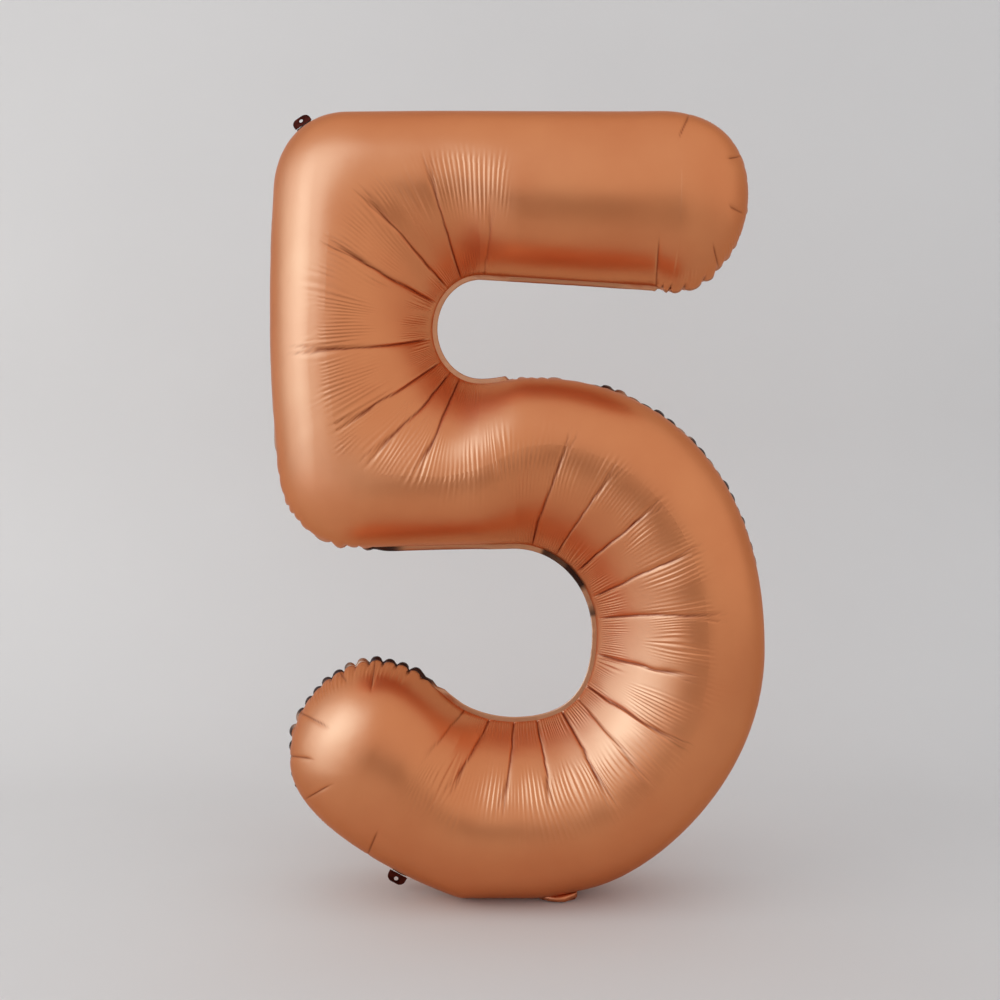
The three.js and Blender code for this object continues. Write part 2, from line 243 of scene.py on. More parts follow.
class Ring:
    """Rays from the tube's crown to its seam, once round the numeral, close together beside folds."""

    def __init__(self):
        spine = spine_line()
        total = distances(spine)[-1]
        self.bar = BAR_END - NOTCH[0]
        self.notch = math.pi * NOTCH_SPINE
        self.bowl_start = self.bar + self.notch + BOWL[0] - NOTCH[0]
        self.bowl = math.radians(90 - BOWL_END) * BOWL_SPINE
        s = self.stations(total)
        at = at_distances(spine, s)
        heading = math.pi + np.clip(s - self.bar, 0, self.notch) / NOTCH_SPINE
        heading -= np.clip(s - self.bowl_start, 0, self.bowl) / BOWL_SPINE
        in_notch, in_bowl = self.bend_at(s)
        bend = in_notch - in_bowl
        left = cast(at, heading + math.pi / 2)
        right = cast(at, heading - math.pi / 2)
        crown = left + (right - left) * (0.5 + CROWN_SHIFT * bend)[:, None]
        off_ends = ease(s, 0, 0.06) * (1 - ease(s, total - 0.06, total))
        crown = at + (crown - at) * off_ends[:, None]
        n = len(s)
        fan = np.arange(1, CAP_RAYS + 1) * math.pi / (CAP_RAYS + 1)
        last, first = np.full(CAP_RAYS, n - 1), np.zeros(CAP_RAYS, int)
        station = np.concatenate([np.arange(n), last, np.arange(n)[::-1], first])
        self.seam = np.concatenate([
            left, cast(at[last], heading[-1] + math.pi / 2 - fan),
            right[::-1], cast(at[first], heading[0] - math.pi / 2 - fan),
        ])
        side = np.concatenate([np.ones(n), np.zeros(CAP_RAYS), -np.ones(n), np.zeros(CAP_RAYS)])
        left_side, right_side = np.clip(side, 0, 1), np.clip(-side, 0, 1)
        self.notch_share, self.bowl_share = in_notch[station], in_bowl[station]
        self.inner = self.notch_share * left_side + self.bowl_share * right_side
        self.outer = self.notch_share * right_side + self.bowl_share * left_side
        self.crown = crown[station]
        self.depth = (FULL_DEPTH + (BEND_DEPTH - FULL_DEPTH) * (in_notch + in_bowl))[station]
        loop = np.vstack([self.seam, self.seam[:1]])
        self.along = distances(loop)[:-1]
        self.length = distances(loop)[-1]
        self.outward = self.seam_normals()
        self.curve = self.seam_curvature()

    def bend_at(self, s):
        """How far each place is inside the notch's bend, and inside the bowl's."""
        soft = 0.045
        in_notch = ease(s, self.bar - soft, self.bar + soft)
        in_notch *= 1 - ease(s, self.bar + self.notch - soft, self.bar + self.notch + soft)
        bowl_stop = self.bowl_start + self.bowl
        in_bowl = ease(s, self.bowl_start - soft, self.bowl_start + soft)
        in_bowl *= 1 - ease(s, bowl_stop - soft, bowl_stop + soft)
        return in_notch, in_bowl

    def step_at(self, s):
        gathered = self.bar - 0.05 < s < self.bowl_start + self.bowl + 0.03
        return GATHER_STEP if gathered or s < 0.03 else PLAIN_STEP

    def stations(self, total):
        places = [0.0]
        while places[-1] < total:
            places.append(places[-1] + self.step_at(places[-1]))
        places[-1] = total
        return np.array(places)

    def even_seam(self, count, reach):
        """The seam at evenly spaced places, smoothed over a reach: its places, x and z."""
        places = np.linspace(0, self.length, count, endpoint=False)
        x, z = (np.interp(places, self.along, self.seam[:, k], period=self.length) for k in (0, 1))
        step = places[1]
        wide = int(3 * reach / step)
        kernel = np.exp(-0.5 * (np.arange(-wide, wide + 1) * step / reach) ** 2)
        kernel /= kernel.sum()
        x, z = (np.convolve(np.concatenate([v[-wide:], v, v[:wide]]), kernel, "valid") for v in (x, z))
        return places, x, z

    def seam_normals(self):
        """Away from the film, in the seam's plane, at each ray."""
        places, x, z = self.even_seam(2400, 0.003)
        dx, dz = (np.roll(v, -1) - np.roll(v, 1) for v in (x, z))
        turned = 1 if np.sum(x * np.roll(z, -1) - z * np.roll(x, -1)) > 0 else -1
        size = np.hypot(dx, dz) * turned
        nx, nz = dz / size, -dx / size
        at_rays = [np.interp(self.along, places, v, period=self.length) for v in (nx, nz)]
        n = np.stack(at_rays, axis=1)
        return n / np.linalg.norm(n, axis=1, keepdims=True)

    def seam_curvature(self):
        """Curvature of the seam at each ray, per metre: above 0 where the outline bulges out."""
        places, x, z = self.even_seam(1600, 0.014)
        step = places[1]
        dx, dz = (np.gradient(v, step) for v in (x, z))
        ddx, ddz = (np.gradient(v, step) for v in (dx, dz))
        curvature = (dx * ddz - dz * ddx) / (dx * dx + dz * dz) ** 1.5
        if curvature.mean() < 0:
            curvature = -curvature
        return np.interp(self.along, places, curvature, period=self.length)


class Noise:
    """Smooth seeded noise on a square lattice."""

    def __init__(self, seed):
        self.table = np.random.RandomState(seed).uniform(-1, 1, (256, 256))

    def at(self, x, y=0.0):
        x, y = np.broadcast_arrays(np.asarray(x, float), np.asarray(y, float))
        xi, yi = np.floor(x).astype(int), np.floor(y).astype(int)
        fx, fy = x - xi, y - yi
        fx, fy = fx * fx * (3 - 2 * fx), fy * fy * (3 - 2 * fy)
        xi, yi = xi % 256, yi % 256
        xj, yj = (xi + 1) % 256, (yi + 1) % 256
        t = self.table
        low = t[xi, yi] * (1 - fx) + t[xj, yi] * fx
        high = t[xi, yj] * (1 - fx) + t[xj, yj] * fx
        return low * (1 - fy) + high * fy


RING = Ring()
PHI = math.pi / 2 * np.linspace(0, 1, ROWS + 1)[:, None] ** 1.25


def tube_half():
    """The smooth inflated half: rows from the seam to the crown. (rows, rays, 3), in front of y = 0."""
    out = np.cos(PHI)
    tuck = SLACK * RING.inner[None, :]
    up = (1 - tuck) * np.sin(PHI) + tuck * (1 - out ** 2)
    place = RING.crown[None] + (RING.seam - RING.crown)[None] * out[:, :, None]
    return np.stack([place[:, :, 0], -(FILM_GAP + up * RING.depth[None]), place[:, :, 1]], axis=2)


def normals(p):
    """Outward normals of the front half."""
    along = np.roll(p, -1, axis=1) - np.roll(p, 1, axis=1)
    up = np.empty_like(p)
    up[1:-1] = p[2:] - p[:-2]
    up[0] = p[1] - p[0]
    up[-1] = p[-1] - p[-2]
    n = np.cross(up, along)
    n /= np.maximum(np.linalg.norm(n, axis=2, keepdims=True), 1e-12)
    facing = np.sign(-n[ROWS // 2, :, 1]).mean()
    return n if facing > 0 else -n


# ---- folds and wrinkles ---------------------------------------------------------------------------

def groove(off, width):
    """Across a fold: a sharp valley, steeper on one side."""
    return np.exp(-np.abs(off) / (width * np.where(off > 0, 1.5, 0.8)))


def front_view(p):
    """Where points of the film are seen from straight in front, on the seam's plane: x and z."""
    nearer = VIEW_DISTANCE / (VIEW_DISTANCE - np.abs(p[:, :, 1]))
    return [c + (p[:, :, k] - c) * nearer for c, k in zip(VIEW_CENTRE, (0, 2))]


def fan_polar(p, centre, turn):
    """Radius and angle in degrees about a centre; turn sets where the angle jumps."""
    x, z = front_view(p)
    dx, dz = x - centre[0], z - centre[1]
    angle = (np.degrees(np.arctan2(dz, dx)) - turn) % 360 + turn
    return np.hypot(dx, dz), angle


def fan_folds(radius, angle, inner, folds, noise):
    """Depth of the gathered folds of one bend, in full folds, with a forked end to each, and how
    closed each fold is, which sets the painted shadow inside it."""
    depth = np.zeros_like(radius)
    closed = np.zeros_like(radius)
    for number, (start, end, reach, strength) in enumerate(folds):
        t = (radius - inner) / (reach - inner)
        centre = start + (end - start) * np.clip(t, 0, 1.3)
        wander = 0.0011 * noise.at(t * 5 + 7 * number, number) + 0.0007 * noise.at(t * 13, number + 40)
        off = np.radians(angle - centre) * radius + wander * ease(t, 0.05, 0.3)
        root = ease(t, 0.0, 0.09)
        main = root * (1 - ease(t, 0.72, 0.97))
        depth += strength * main * (0.75 * groove(off, 0.0010) + 0.26 * np.exp(-np.abs(off) / 0.0065))
        # painted shadow along the bottom of each fold and of its forks
        closed += strength * main * np.exp(-(off / 0.00085) ** 2)
        spread = 0.0042 * np.clip((t - 0.58) / 0.42, 0, 1.2)
        for side, share in ((-1, 0.55), (1, 0.40)):
            branch = ease(t, 0.60, 0.74) * (1 - ease(t, 0.92, 1.06))
            depth += share * strength * branch * 0.6 * groove(off + side * spread, 0.0010)
            closed += share * strength * branch * np.exp(-((off + side * spread) / 0.0008) ** 2)
    return depth, np.clip(closed, 0, 1)


def fan_comb(radius, angle, inner, pitch, outer_band, noise, slow):
    """Height of the fine parallel wrinkles between the folds, from -1 to 1."""
    phase = angle / pitch + 1.3 * slow.at(angle / 8 + 11, radius / 0.06)
    ridges = np.sin(2 * math.pi * phase) + 0.35 * np.sin(2 * math.pi * phase * 1.73 + 2)
    low, high = outer_band
    jagged = 0.016 * noise.at(angle / 5 + 3, 5)
    far = ease(radius - jagged, low, low + 0.03) * (1 - ease(radius - jagged, high - 0.03, high))
    patches = np.clip(0.72 + 0.9 * noise.at(angle / 6.5, radius / 0.035), 0, 1)
    close = ease(radius, inner + 0.002, inner + 0.009)
    close *= 1 - ease(radius - 0.4 * jagged, inner + 0.012, inner + 0.036)
    return ridges * (far * patches + 0.75 * close)


def fan_relief(p, seed, spread):
    """Relief of both fans, in metres outwards, and how much the film is gathered there, which sets the
    painted shadow in the folds.
    """
    noise, slow = Noise(seed), Noise(seed + 1)
    jitter = np.random.RandomState(seed + 2)
    relief = np.zeros(p.shape[:2])
    painted_crease_shadow = np.zeros(p.shape[:2])
    fans = [
        (NOTCH, 0.054, NOTCH_FOLDS, RING.notch_share, 45, 1.75, (0.112, 0.207)),
        (FAN_CENTRE, 0.092, BAY_FOLDS, RING.bowl_share, -200, 1.42, (0.146, 0.236)),
    ]
    for centre, inner, folds, share, turn, pitch, band in fans:
        radius, angle = fan_polar(p, centre, turn)
        zone, comb_zone = ease(share, 0.04, 0.4)[None], ease(share, 0.02, 0.16)[None]
        moved = [
            (a + spread * jitter.uniform(-4, 4), b + spread * jitter.uniform(-5, 5), r, k)
            for a, b, r, k in folds
        ]
        depth, closed = fan_folds(radius, angle, inner, moved, noise)
        comb = fan_comb(radius, angle, inner, pitch, band, noise, slow)
        relief += COMB_HEIGHT * comb_zone * comb - FOLD_DEPTH * zone * depth
        painted_crease_shadow += zone * closed
    return relief, painted_crease_shadow


def short_folds(p):
    """Depth of the few short folds at the round ends, in full folds, and how closed they are, which sets
    the painted shadow inside them.
    """
    depth = np.zeros(p.shape[:2])
    closed = np.zeros(p.shape[:2])
    x, z = front_view(p)
    for start, end in END_FOLDS:
        a, d = np.array(start), np.array(end) - np.array(start)
        length = np.linalg.norm(d)
        dx, dz = x - a[0], z - a[1]
        t = (dx * d[0] + dz * d[1]) / length ** 2
        off = (dx * d[1] - dz * d[0]) / length
        reach = ease(t, -0.25, 0.05) * (1 - ease(t, 0.6, 1.0))
        depth += reach * (0.7 * groove(off, 0.0012) + 0.3 * np.exp(-np.abs(off) / 0.006))
        # painted shadow along the bottom of each short fold
        closed += 0.8 * reach * np.exp(-(off / 0.0009) ** 2)
    return depth, closed


def softened(strength, rounds):
    """Values round the ring with their steps smoothed away."""
    for _ in range(rounds):
        strength = 0.5 * strength + 0.25 * (np.roll(strength, 1) + np.roll(strength, -1))
    return strength


def pucker_strength():
    """How strongly the outer seam is puckered at each ray: most at the round ends and on the bowl."""
    x, z = RING.seam[:, 0], RING.seam[:, 1]
    round_bowl = np.degrees(np.arctan2(z - BOWL[1], x - BOWL[0]))
    strength = ease(RING.curve, 1.2, 4.0)
    strength *= np.where((x < -0.14) & (z > 0.70), 0.25, 1.0)
    lower_right = (x > 0) & (z < 0.40) & (round_bowl < 12)
    strength *= np.where(lower_right, 0.2, 1.0)
    shoulder = (x > 0) & (z > 0.28) & (z < 0.60) & (round_bowl >= 12)
    strength *= np.where(shoulder, 0.5, 1.0)
    strength *= np.where((z < 0.02) & (x > -0.10) & (x < 0.12), 0.0, 1.0)
    return softened(strength, 12)


def end_comb_strength():
    """Fine radial wrinkles inside the round ends: strong at the lower left, light at the others."""
    x, z = RING.seam[:, 0], RING.seam[:, 1]
    strength = np.where((x < -0.12) & (z < 0.27), 1.0, 0.0)
    strength += np.where((x > 0.16) & (z > 0.65), 0.45, 0.0)
    strength += np.where((x < -0.16) & (z > 0.37) & (z < 0.50), 0.25, 0.0)
    return softened(strength, 12)


PUCKER = pucker_strength()
END_COMB = end_comb_strength()


def puckers(seed):
    """Lobe shape at each ray, 0 in the pinch and about 1 on the lobe, and distance from the pinch."""
    noise = Noise(seed)
    shifted = RING.along + PUCKER_DRIFT * noise.at(RING.along / 0.042)
    phase = shifted / PUCKER_PITCH
    size = 0.75 + 0.45 * noise.at(np.floor(phase) * 3.7, 9.0)
    from_pinch = np.abs((phase + 0.5) % 1 - 0.5) * PUCKER_PITCH
    return np.abs(np.sin(math.pi * phase)) ** 0.6 * size, from_pinch


def seam_relief(seed):
    """Relief of the puckers along the outer seam, in metres outwards."""
    lobe, from_pinch = puckers(seed)
    depth_in = FULL_DEPTH * PHI
    noise = Noise(seed + 5)
    reach = 0.012 + 0.008 * noise.at(RING.along / 0.03)[None]
    fade = np.exp(-(depth_in / reach) ** 2) * PUCKER[None]
    pinch = np.exp(-from_pinch / 0.0016)[None] * np.exp(-(depth_in / (1.5 * reach)) ** 2) * PUCKER[None]
    comb = np.sin(2 * math.pi * (RING.along / END_COMB_PITCH + 0.8 * noise.at(RING.along / 0.02 + 90)))
    patches = np.clip(0.5 + 1.2 * noise.at(RING.along / 0.024 + 140), 0, 1)
    band = ease(depth_in, 0.006, 0.014) * (1 - ease(depth_in, 0.022 + 0.016 * patches[None], 0.044))
    combed = END_COMB_HEIGHT * (END_COMB * comb * patches)[None] * band
    return LOBE_HEIGHT * (lobe[None] - 0.45) * fade - PINCH_DEPTH * pinch + combed


def pinch_shadows(seed):
    """Painted shadow where the film is pinched into a sharp crease, running in from the outer seam; it
    darkens only the colour.
    """
    _, from_pinch = puckers(seed)
    noise = Noise(seed + 6)
    reach = 0.010 + 0.009 * noise.at(np.floor(RING.along / 0.0145) * 2.3)[None]
    line = np.exp(-(from_pinch / 0.0012) ** 2)[None]
    return 0.9 * PUCKER[None] * line * (1 - ease(FULL_DEPTH * PHI, 0.4 * reach, 1.6 * reach))


def panel_shape(seed, spread, back):
    """Points of one film panel and how tightly the film is pleated at each, which sets the painted shadow
    in its folds and creases.
    """
    p = tube_half()
    n = normals(p)
    relief, painted_crease_shadow = fan_relief(p, seed, spread)
    short, short_crease_shadow = short_folds(p)
    relief -= SHORT_FOLD_DEPTH * short * ease(PHI, 0.02, 0.12)
    # painted shadow: the fans' folds, the short folds and the pinched creases together set how dark the
    # colour is painted
    painted_crease_shadow = np.clip(painted_crease_shadow + short_crease_shadow + pinch_shadows(PUCKER_SEED), 0, 1)
    slow = Noise(seed + 9)
    swell = 0.0007 * slow.at(RING.along / 0.11, PHI * 1.6) * np.sin(2 * PHI)
    relief = relief * ease(PHI, 0.0, 0.10) + swell
    p = p + n * (relief + seam_relief(PUCKER_SEED))[:, :, None]
    p[0, :, 1] = -FILM_GAP
    p[:, :, 1] = np.minimum(p[:, :, 1], -FILM_GAP)
    p[:, :, 2] = np.maximum(p[:, :, 2], 0.0)
    if back:
        p[:, :, 1] *= -1
    return p, painted_crease_shadow


# ---- mesh helpers ---------------------------------------------------------------------------------

def object_from(bm, name, smooth=True):
    for face in bm.faces:
        face.smooth = smooth
    mesh = bpy.data.meshes.new(name)
    bm.to_mesh(mesh)
    bm.free()
    piece = bpy.data.objects.new(name, mesh)
    bpy.context.collection.objects.link(piece)
    return piece


def grid_on(points, closed):
    """A grid of faces whose corners are given points, (rows, columns, 3). Returns it with each
    vertex's row and column. A closed grid joins its last column to its first."""
    rows, columns = points.shape[:2]
    bm = bmesh.new()
    across = columns if closed else columns - 1
    bmesh.ops.create_grid(bm, x_segments=across, y_segments=rows - 1, size=1, calc_uvs=True)
    column = [int(round((v.co.x + 1) / 2 * across)) for v in bm.verts]
    row = [int(round((v.co.y + 1) / 2 * (rows - 1))) for v in bm.verts]
    for v, i, j in zip(bm.verts, column, row):
        v.co = points[j, i % columns]
    return bm, row, column


def dress(piece, material, body, slot, *nodes):
    piece.data.materials.append(material)
    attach(piece, body)
    if nodes:
        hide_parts(*nodes)


# ---- the two film panels --------------------------------------------------------------------------

def film_panel(name, seed, spread, back):
    points, painted_crease_shadow = panel_shape(seed, spread, back)
    bm, row, column = grid_on(points, closed=True)
    bm.verts.ensure_lookup_table()
    # painted shadow: each vertex keeps how far its colour is darkened inside closed folds and creases
    crease_shadow_layer = bm.verts.layers.float.new("painted_crease_shadow")
    count = points.shape[1]
    for v, j, i in zip(bm.verts, row, column):
        v[crease_shadow_layer] = float(painted_crease_shadow[j, i % count])
    doubled = (RING.outer > 0.5) & (np.arange(count) % 2 == 1)
    spare = []
    for edge in bm.edges:
        a, b = edge.verts
        i = column[a.index]
        inside = FINE_ROWS <= min(row[a.index], row[b.index]) and max(row[a.index], row[b.index]) < ROWS
        if i == column[b.index] and 0 < i < count and doubled[i] and inside:
            spare.append(edge)
    welded = [v for v, j, i in zip(bm.verts, row, column) if i in (0, count) or j == ROWS]
    bmesh.ops.remove_doubles(bm, verts=welded, dist=2e-6)
    spare = [e for e in spare if e.is_valid]
    bmesh.ops.dissolve_edges(bm, edges=spare, use_verts=True, use_face_split=False)
    if back:
        bmesh.ops.reverse_faces(bm, faces=bm.faces)
    return object_from(bm, name)


# ---- materials ------------------------------------------------------------------------------------

class Nodes:
    """Short way to build a material's nodes."""

    def __init__(self, name):
        self.material = bpy.data.materials.new(name)
        self.material.use_nodes = True
        self.tree = self.material.node_tree
        self.shader = self.tree.nodes["Principled BSDF"]

    def add(self, kind, **settings):
        node = self.tree.nodes.new(kind)
        for key, value in settings.items():
            if key in node.inputs:
                node.inputs[key].default_value = value
            else:
                setattr(node, key, value)
        return node

    def link(self, a, b):
        self.tree.links.new(a, b)

    def noise(self, scale, detail=3.0, squeeze=(1, 1, 1), source="Object"):
        place = self.add("ShaderNodeTexCoord")
        turn = self.add("ShaderNodeMapping")
        turn.inputs["Scale"].default_value = squeeze
        grain = self.add("ShaderNodeTexNoise")
        grain.inputs["Scale"].default_value = scale
        grain.inputs["Detail"].default_value = detail
        self.link(place.outputs[source], turn.inputs["Vector"])
        self.link(turn.outputs["Vector"], grain.inputs["Vector"])
        return grain.outputs["Fac"]

    def spread(self, value, low, high):
        """A value from 0.3-0.7 mapped to a range."""
        ramp = self.add("ShaderNodeMapRange")
        ramp.inputs["From Min"].default_value = 0.3
        ramp.inputs["From Max"].default_value = 0.7
        ramp.inputs["To Min"].default_value = low
        ramp.inputs["To Max"].default_value = high
        self.link(value, ramp.inputs["Value"])
        return ramp.outputs["Result"]

    def bump(self, height, strength, distance, below=None):
        bump = self.add("ShaderNodeBump")
        bump.inputs["Strength"].default_value = strength
        bump.inputs["Distance"].default_value = distance
        self.link(height, bump.inputs["Height"])
        if below is not None:
            self.link(below, bump.inputs["Normal"])
        return bump.outputs["Normal"]


def satin_copper():
    """Copper lacquer over metallised film: satin, with a clear skin and a fine grain, and painted shadow
    inside closed folds and creases.
    """
    n = Nodes("satin_copper")
    s = n.shader
    s.inputs["Metallic"].default_value = 1.0
    s.inputs["Specular Tint"].default_value = EDGE_TINT
    s.inputs["Coat Weight"].default_value = 0.2
    s.inputs["Coat Roughness"].default_value = 0.30
    s.inputs["Coat IOR"].default_value = 1.5
    mix = n.add("ShaderNodeMix", data_type="RGBA")
    mix.inputs["A"].default_value = COPPER
    mix.inputs["B"].default_value = (COPPER[0] * 0.94, COPPER[1] * 0.88, COPPER[2] * 0.86, 1)
    n.link(n.spread(n.noise(14), 0, 1), mix.inputs["Factor"])
    # painted shadow: the base colour darkens towards a dark red inside closed folds and pinched creases,
    # where the film shades itself
    painted_crease_shadow = n.add("ShaderNodeAttribute", attribute_name="painted_crease_shadow")
    crease_shadow_mix = n.add("ShaderNodeMix", data_type="RGBA")
    crease_shadow_mix.inputs["B"].default_value = PAINTED_CREASE_SHADOW
    n.link(mix.outputs["Result"], crease_shadow_mix.inputs["A"])
    n.link(painted_crease_shadow.outputs["Fac"], crease_shadow_mix.inputs["Factor"])
    n.link(crease_shadow_mix.outputs["Result"], s.inputs["Base Color"])
    n.link(n.spread(n.noise(9), 0.34, 0.40), s.inputs["Roughness"])
    grain = n.bump(n.noise(2600, 2), 0.05, 0.0004)
    soft = n.bump(n.noise(90, 3), 0.10, 0.0012, grain)
    n.link(soft, s.inputs["Normal"])
    return n.material


def sealed_margin():
    """Two films fused flat: light copper where it is pulled flat, mixed towards dark bronze by a vertex
    attribute that is high along the dark stretches and at the tab roots and slight where the outline
    bulges.
    """
    n = Nodes("sealed_margin")
    s = n.shader
    s.inputs["Metallic"].default_value = 1.0
    s.inputs["Coat Weight"].default_value = 0.3
    # the margin's colour goes from light copper to dark bronze as this attribute rises
    dark_tone = n.add("ShaderNodeAttribute", attribute_name="dark_tone")
    mix = n.add("ShaderNodeMix", data_type="RGBA")
    mix.inputs["A"].default_value = (0.62, 0.27, 0.13, 1)
    mix.inputs["B"].default_value = DARK_BRONZE
    n.link(dark_tone.outputs["Fac"], mix.inputs["Factor"])
    n.link(mix.outputs["Result"], s.inputs["Base Color"])
    n.link(n.spread(n.noise(60), 0.36, 0.50), s.inputs["Roughness"])
    n.link(n.bump(n.noise(700, 2), 0.3, 0.0003), s.inputs["Normal"])
    return n.material


def creased_copper():
    """The neck's film: the same lacquer, crumpled and in its own shade."""
    n = Nodes("creased_copper")
    s = n.shader
    s.inputs["Metallic"].default_value = 1.0
    s.inputs["Coat Weight"].default_value = 0.5
    s.inputs["Coat Roughness"].default_value = 0.3
    s.inputs["Specular Tint"].default_value = EDGE_TINT
    s.inputs["Base Color"].default_value = (0.68, 0.23, 0.09, 1)
    n.link(n.spread(n.noise(60), 0.32, 0.42), s.inputs["Roughness"])
    n.link(n.bump(n.noise(160, 4), 0.5, 0.0012), s.inputs["Normal"])
    return n.material


def fused_tab():
    n = Nodes("fused_tab")
    s = n.shader
    s.inputs["Metallic"].default_value = 1.0
    mix = n.add("ShaderNodeMix", data_type="RGBA")
    s.inputs["Specular Tint"].default_value = (0.35, 0.20, 0.16, 1)
    mix.inputs["A"].default_value = (0.100, 0.016, 0.009, 1)
    mix.inputs["B"].default_value = (0.030, 0.006, 0.004, 1)
    n.link(n.spread(n.noise(120), 0, 1), mix.inputs["Factor"])
    n.link(mix.outputs["Result"], s.inputs["Base Color"])
    n.link(n.spread(n.noise(220), 0.30, 0.42), s.inputs["Roughness"])
    n.link(n.bump(n.noise(500, 2), 0.25, 0.0004), s.inputs["Normal"])
    return n.material


def clear_film():
    n = Nodes("clear_film")
    s = n.shader
    s.inputs["Base Color"].default_value = (0.82, 0.84, 0.86, 1)
    s.inputs["Transmission Weight"].default_value = 0.7
    s.inputs["IOR"].default_value = 1.5
    n.link(n.spread(n.noise(80), 0.22, 0.34), s.inputs["Roughness"])
    n.link(n.bump(n.noise(45, 3), 0.3, 0.001), s.inputs["Normal"])
    return n.material


def matt(name, colour, grain):
    n = Nodes(name)
    s = n.shader
    s.inputs["Roughness"].default_value = 0.75
    s.inputs["Specular IOR Level"].default_value = 0.0
    mix = n.add("ShaderNodeMix", data_type="RGBA")
    mix.inputs["A"].default_value = (*colour, 1)
    mix.inputs["B"].default_value = (*(c * 0.975 for c in colour), 1)
    n.link(n.spread(n.noise(grain), 0, 1), mix.inputs["Factor"])
    n.link(mix.outputs["Result"], s.inputs["Base Color"])
    return n.material


# ---- the heat sealed border -----------------------------------------------------------------------

def dark_stretch():
    """1 where the margin shows as dark curled scallops."""
    x, z = RING.seam[:, 0], RING.seam[:, 1]
    round_bowl = np.degrees(np.arctan2(z - BOWL[1], x - BOWL[0]))
    shoulder = (z > 0.28) & (z < 0.60) & (x > 0) & (round_bowl > 14) & (round_bowl < 72)
    end = (x < -0.075) & (z < 0.27) & (RING.curve > 0.5)
    bar_end = (x > 0.22) & (z > 0.798) & (z < 0.832)
    under_arm = (x > -0.168) & (x < -0.128) & (z > 0.37) & (z < 0.39)
    return softened((shoulder | end | bar_end | under_arm).astype(float), 20)


def border():
    """Ribbon outside the seam: flat in the bays, curled back where the outline bulges."""
    root = tube_half()[0][:, [0, 2]]
    n3 = normals(tube_half())[0][:, [0, 2]]
    root = root + n3 * seam_relief(PUCKER_SEED)[0][:, None]
    lobe, _ = puckers(PUCKER_SEED)
    noise = Noise(33)
    dark = dark_stretch()
    convex = ease(RING.curve, -1.0, 1.5)
    flat_foot = (RING.seam[:, 1] < 0.004) & (np.abs(RING.seam[:, 0]) < 0.12)
    lean = np.radians(convex * (84 - 33 * dark) + 4 * noise.at(RING.along / 0.02))
    lean = np.where(flat_foot, math.radians(88), lean)
    by_tab = np.zeros(len(lean))
    for node in ("hanging_tab_top_left", "hanging_tab_bottom_left"):
        low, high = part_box(node)
        off = np.hypot(RING.seam[:, 0] - (low[0] + high[0]) / 2, RING.seam[:, 1] - (low[2] + high[2]) / 2)
        by_tab = np.maximum(by_tab, 1 - ease(off, 0.0140, 0.0165))
    lean = lean * (1 - by_tab)
    crescent = 0.15 + 0.85 * np.clip(1.1 * lobe, 0, 1) ** 0.8
    width = BORDER_WIDTH * (1 - np.clip(1.3 * PUCKER, 0, 1) * (1 - crescent))
    width = width + (TAB_BRIDGE - width) * by_tab
    rows = []
    for share in (-0.25, 0.0, 0.35, 0.7, 1.0):
        reach = share * width
        turned = lean * min(1, 0.4 + share) if share > 0 else np.zeros(len(lobe))
        back = reach * np.sin(turned)
        place = root + RING.outward * (reach * np.cos(turned))[:, None]
        ripple = 0.0004 * max(share, 0) * noise.at(RING.along / 0.006 + 50)
        rows.append(np.stack([place[:, 0], back + ripple, np.maximum(place[:, 1], 0.0003)], axis=1))
    keep = np.arange(0, len(lobe), 2)
    points = np.array(rows)[:, keep]
    bm, row, column = grid_on(points, closed=True)
    dark_tone = bm.verts.layers.float.new("dark_tone")
    # the margin's colour is darkened here: a little where the outline bulges, fully along the dark
    # stretches and at the tab roots
    dashes = np.clip(1.0 + 1.5 * noise.at(RING.along / 0.024 + 20), 0.15, 1)
    shade = np.clip(0.12 * convex + dark * dashes + by_tab, 0, 1)[keep]
    for v, i in zip(bm.verts, column):
        v[dark_tone] = float(shade[i % len(keep)])
    bmesh.ops.remove_doubles(bm, verts=bm.verts, dist=2e-6)
    bmesh.ops.recalc_face_normals(bm, faces=bm.faces)
    bmesh.ops.solidify(bm, geom=bm.faces, thickness=0.00025)
    return object_from(bm, "heat_sealed_margin")


# ---- neck, valve and tabs -------------------------------------------------------------------------

def strip(name, path, left, right, across, seed, crumple, thickness, rounded=0.0):
    """Film strip: a path of (y, z) points swept over x, with its own crumples and a film thickness.
    Rounded is how much less far forward it reaches at its sides."""
    path = np.array(path)
    even = at_distances(path, np.linspace(0, distances(path)[-1], 4 * len(path)))
    noise = Noise(seed)
    x = np.linspace(left, right, across)
    middle, half = (left + right) / 2, (right - left) / 2
    reach = 1 - rounded * (1 - np.sqrt(np.clip(1 - ((x - middle) / half) ** 2, 0, 1)))
    rows = []
    for k, (y, z) in enumerate(even):
        share = k / (len(even) - 1)
        wave = noise.at(x / 0.009 + 30, share * 5.0) + 0.6 * noise.at(x / 0.004 + 60, share * 9.0)
        forward = y * reach if y < 0 else np.full(across, y)
        height = np.maximum(z + crumple * wave, 0.0002)
        rows.append(np.stack([x, forward + 0.7 * crumple * wave, height], axis=1))
    bm, _, _ = grid_on(np.array(rows), closed=False)
    bmesh.ops.recalc_face_normals(bm, faces=bm.faces)
    bmesh.ops.solidify(bm, geom=bm.faces, thickness=thickness)
    return object_from(bm, name)


def collar():
    """Root of the neck: a soft pouch that comes forward under the belly and turns down to the fold."""
    low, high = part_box("inflation_neck_collar")
    front = low[1]
    path = [(high[1], 0.0024), (-0.008, 0.0034), (-0.018, 0.0058), (front - 0.001, 0.0092),
            (front - 0.0055, 0.0084), (front - 0.0070, 0.0050), (front - 0.0050, 0.0024), (front, 0.0019)]
    return strip("neck_root_fold", path, low[0], high[0], 60, 51, 0.0008, 0.00012, rounded=0.45)


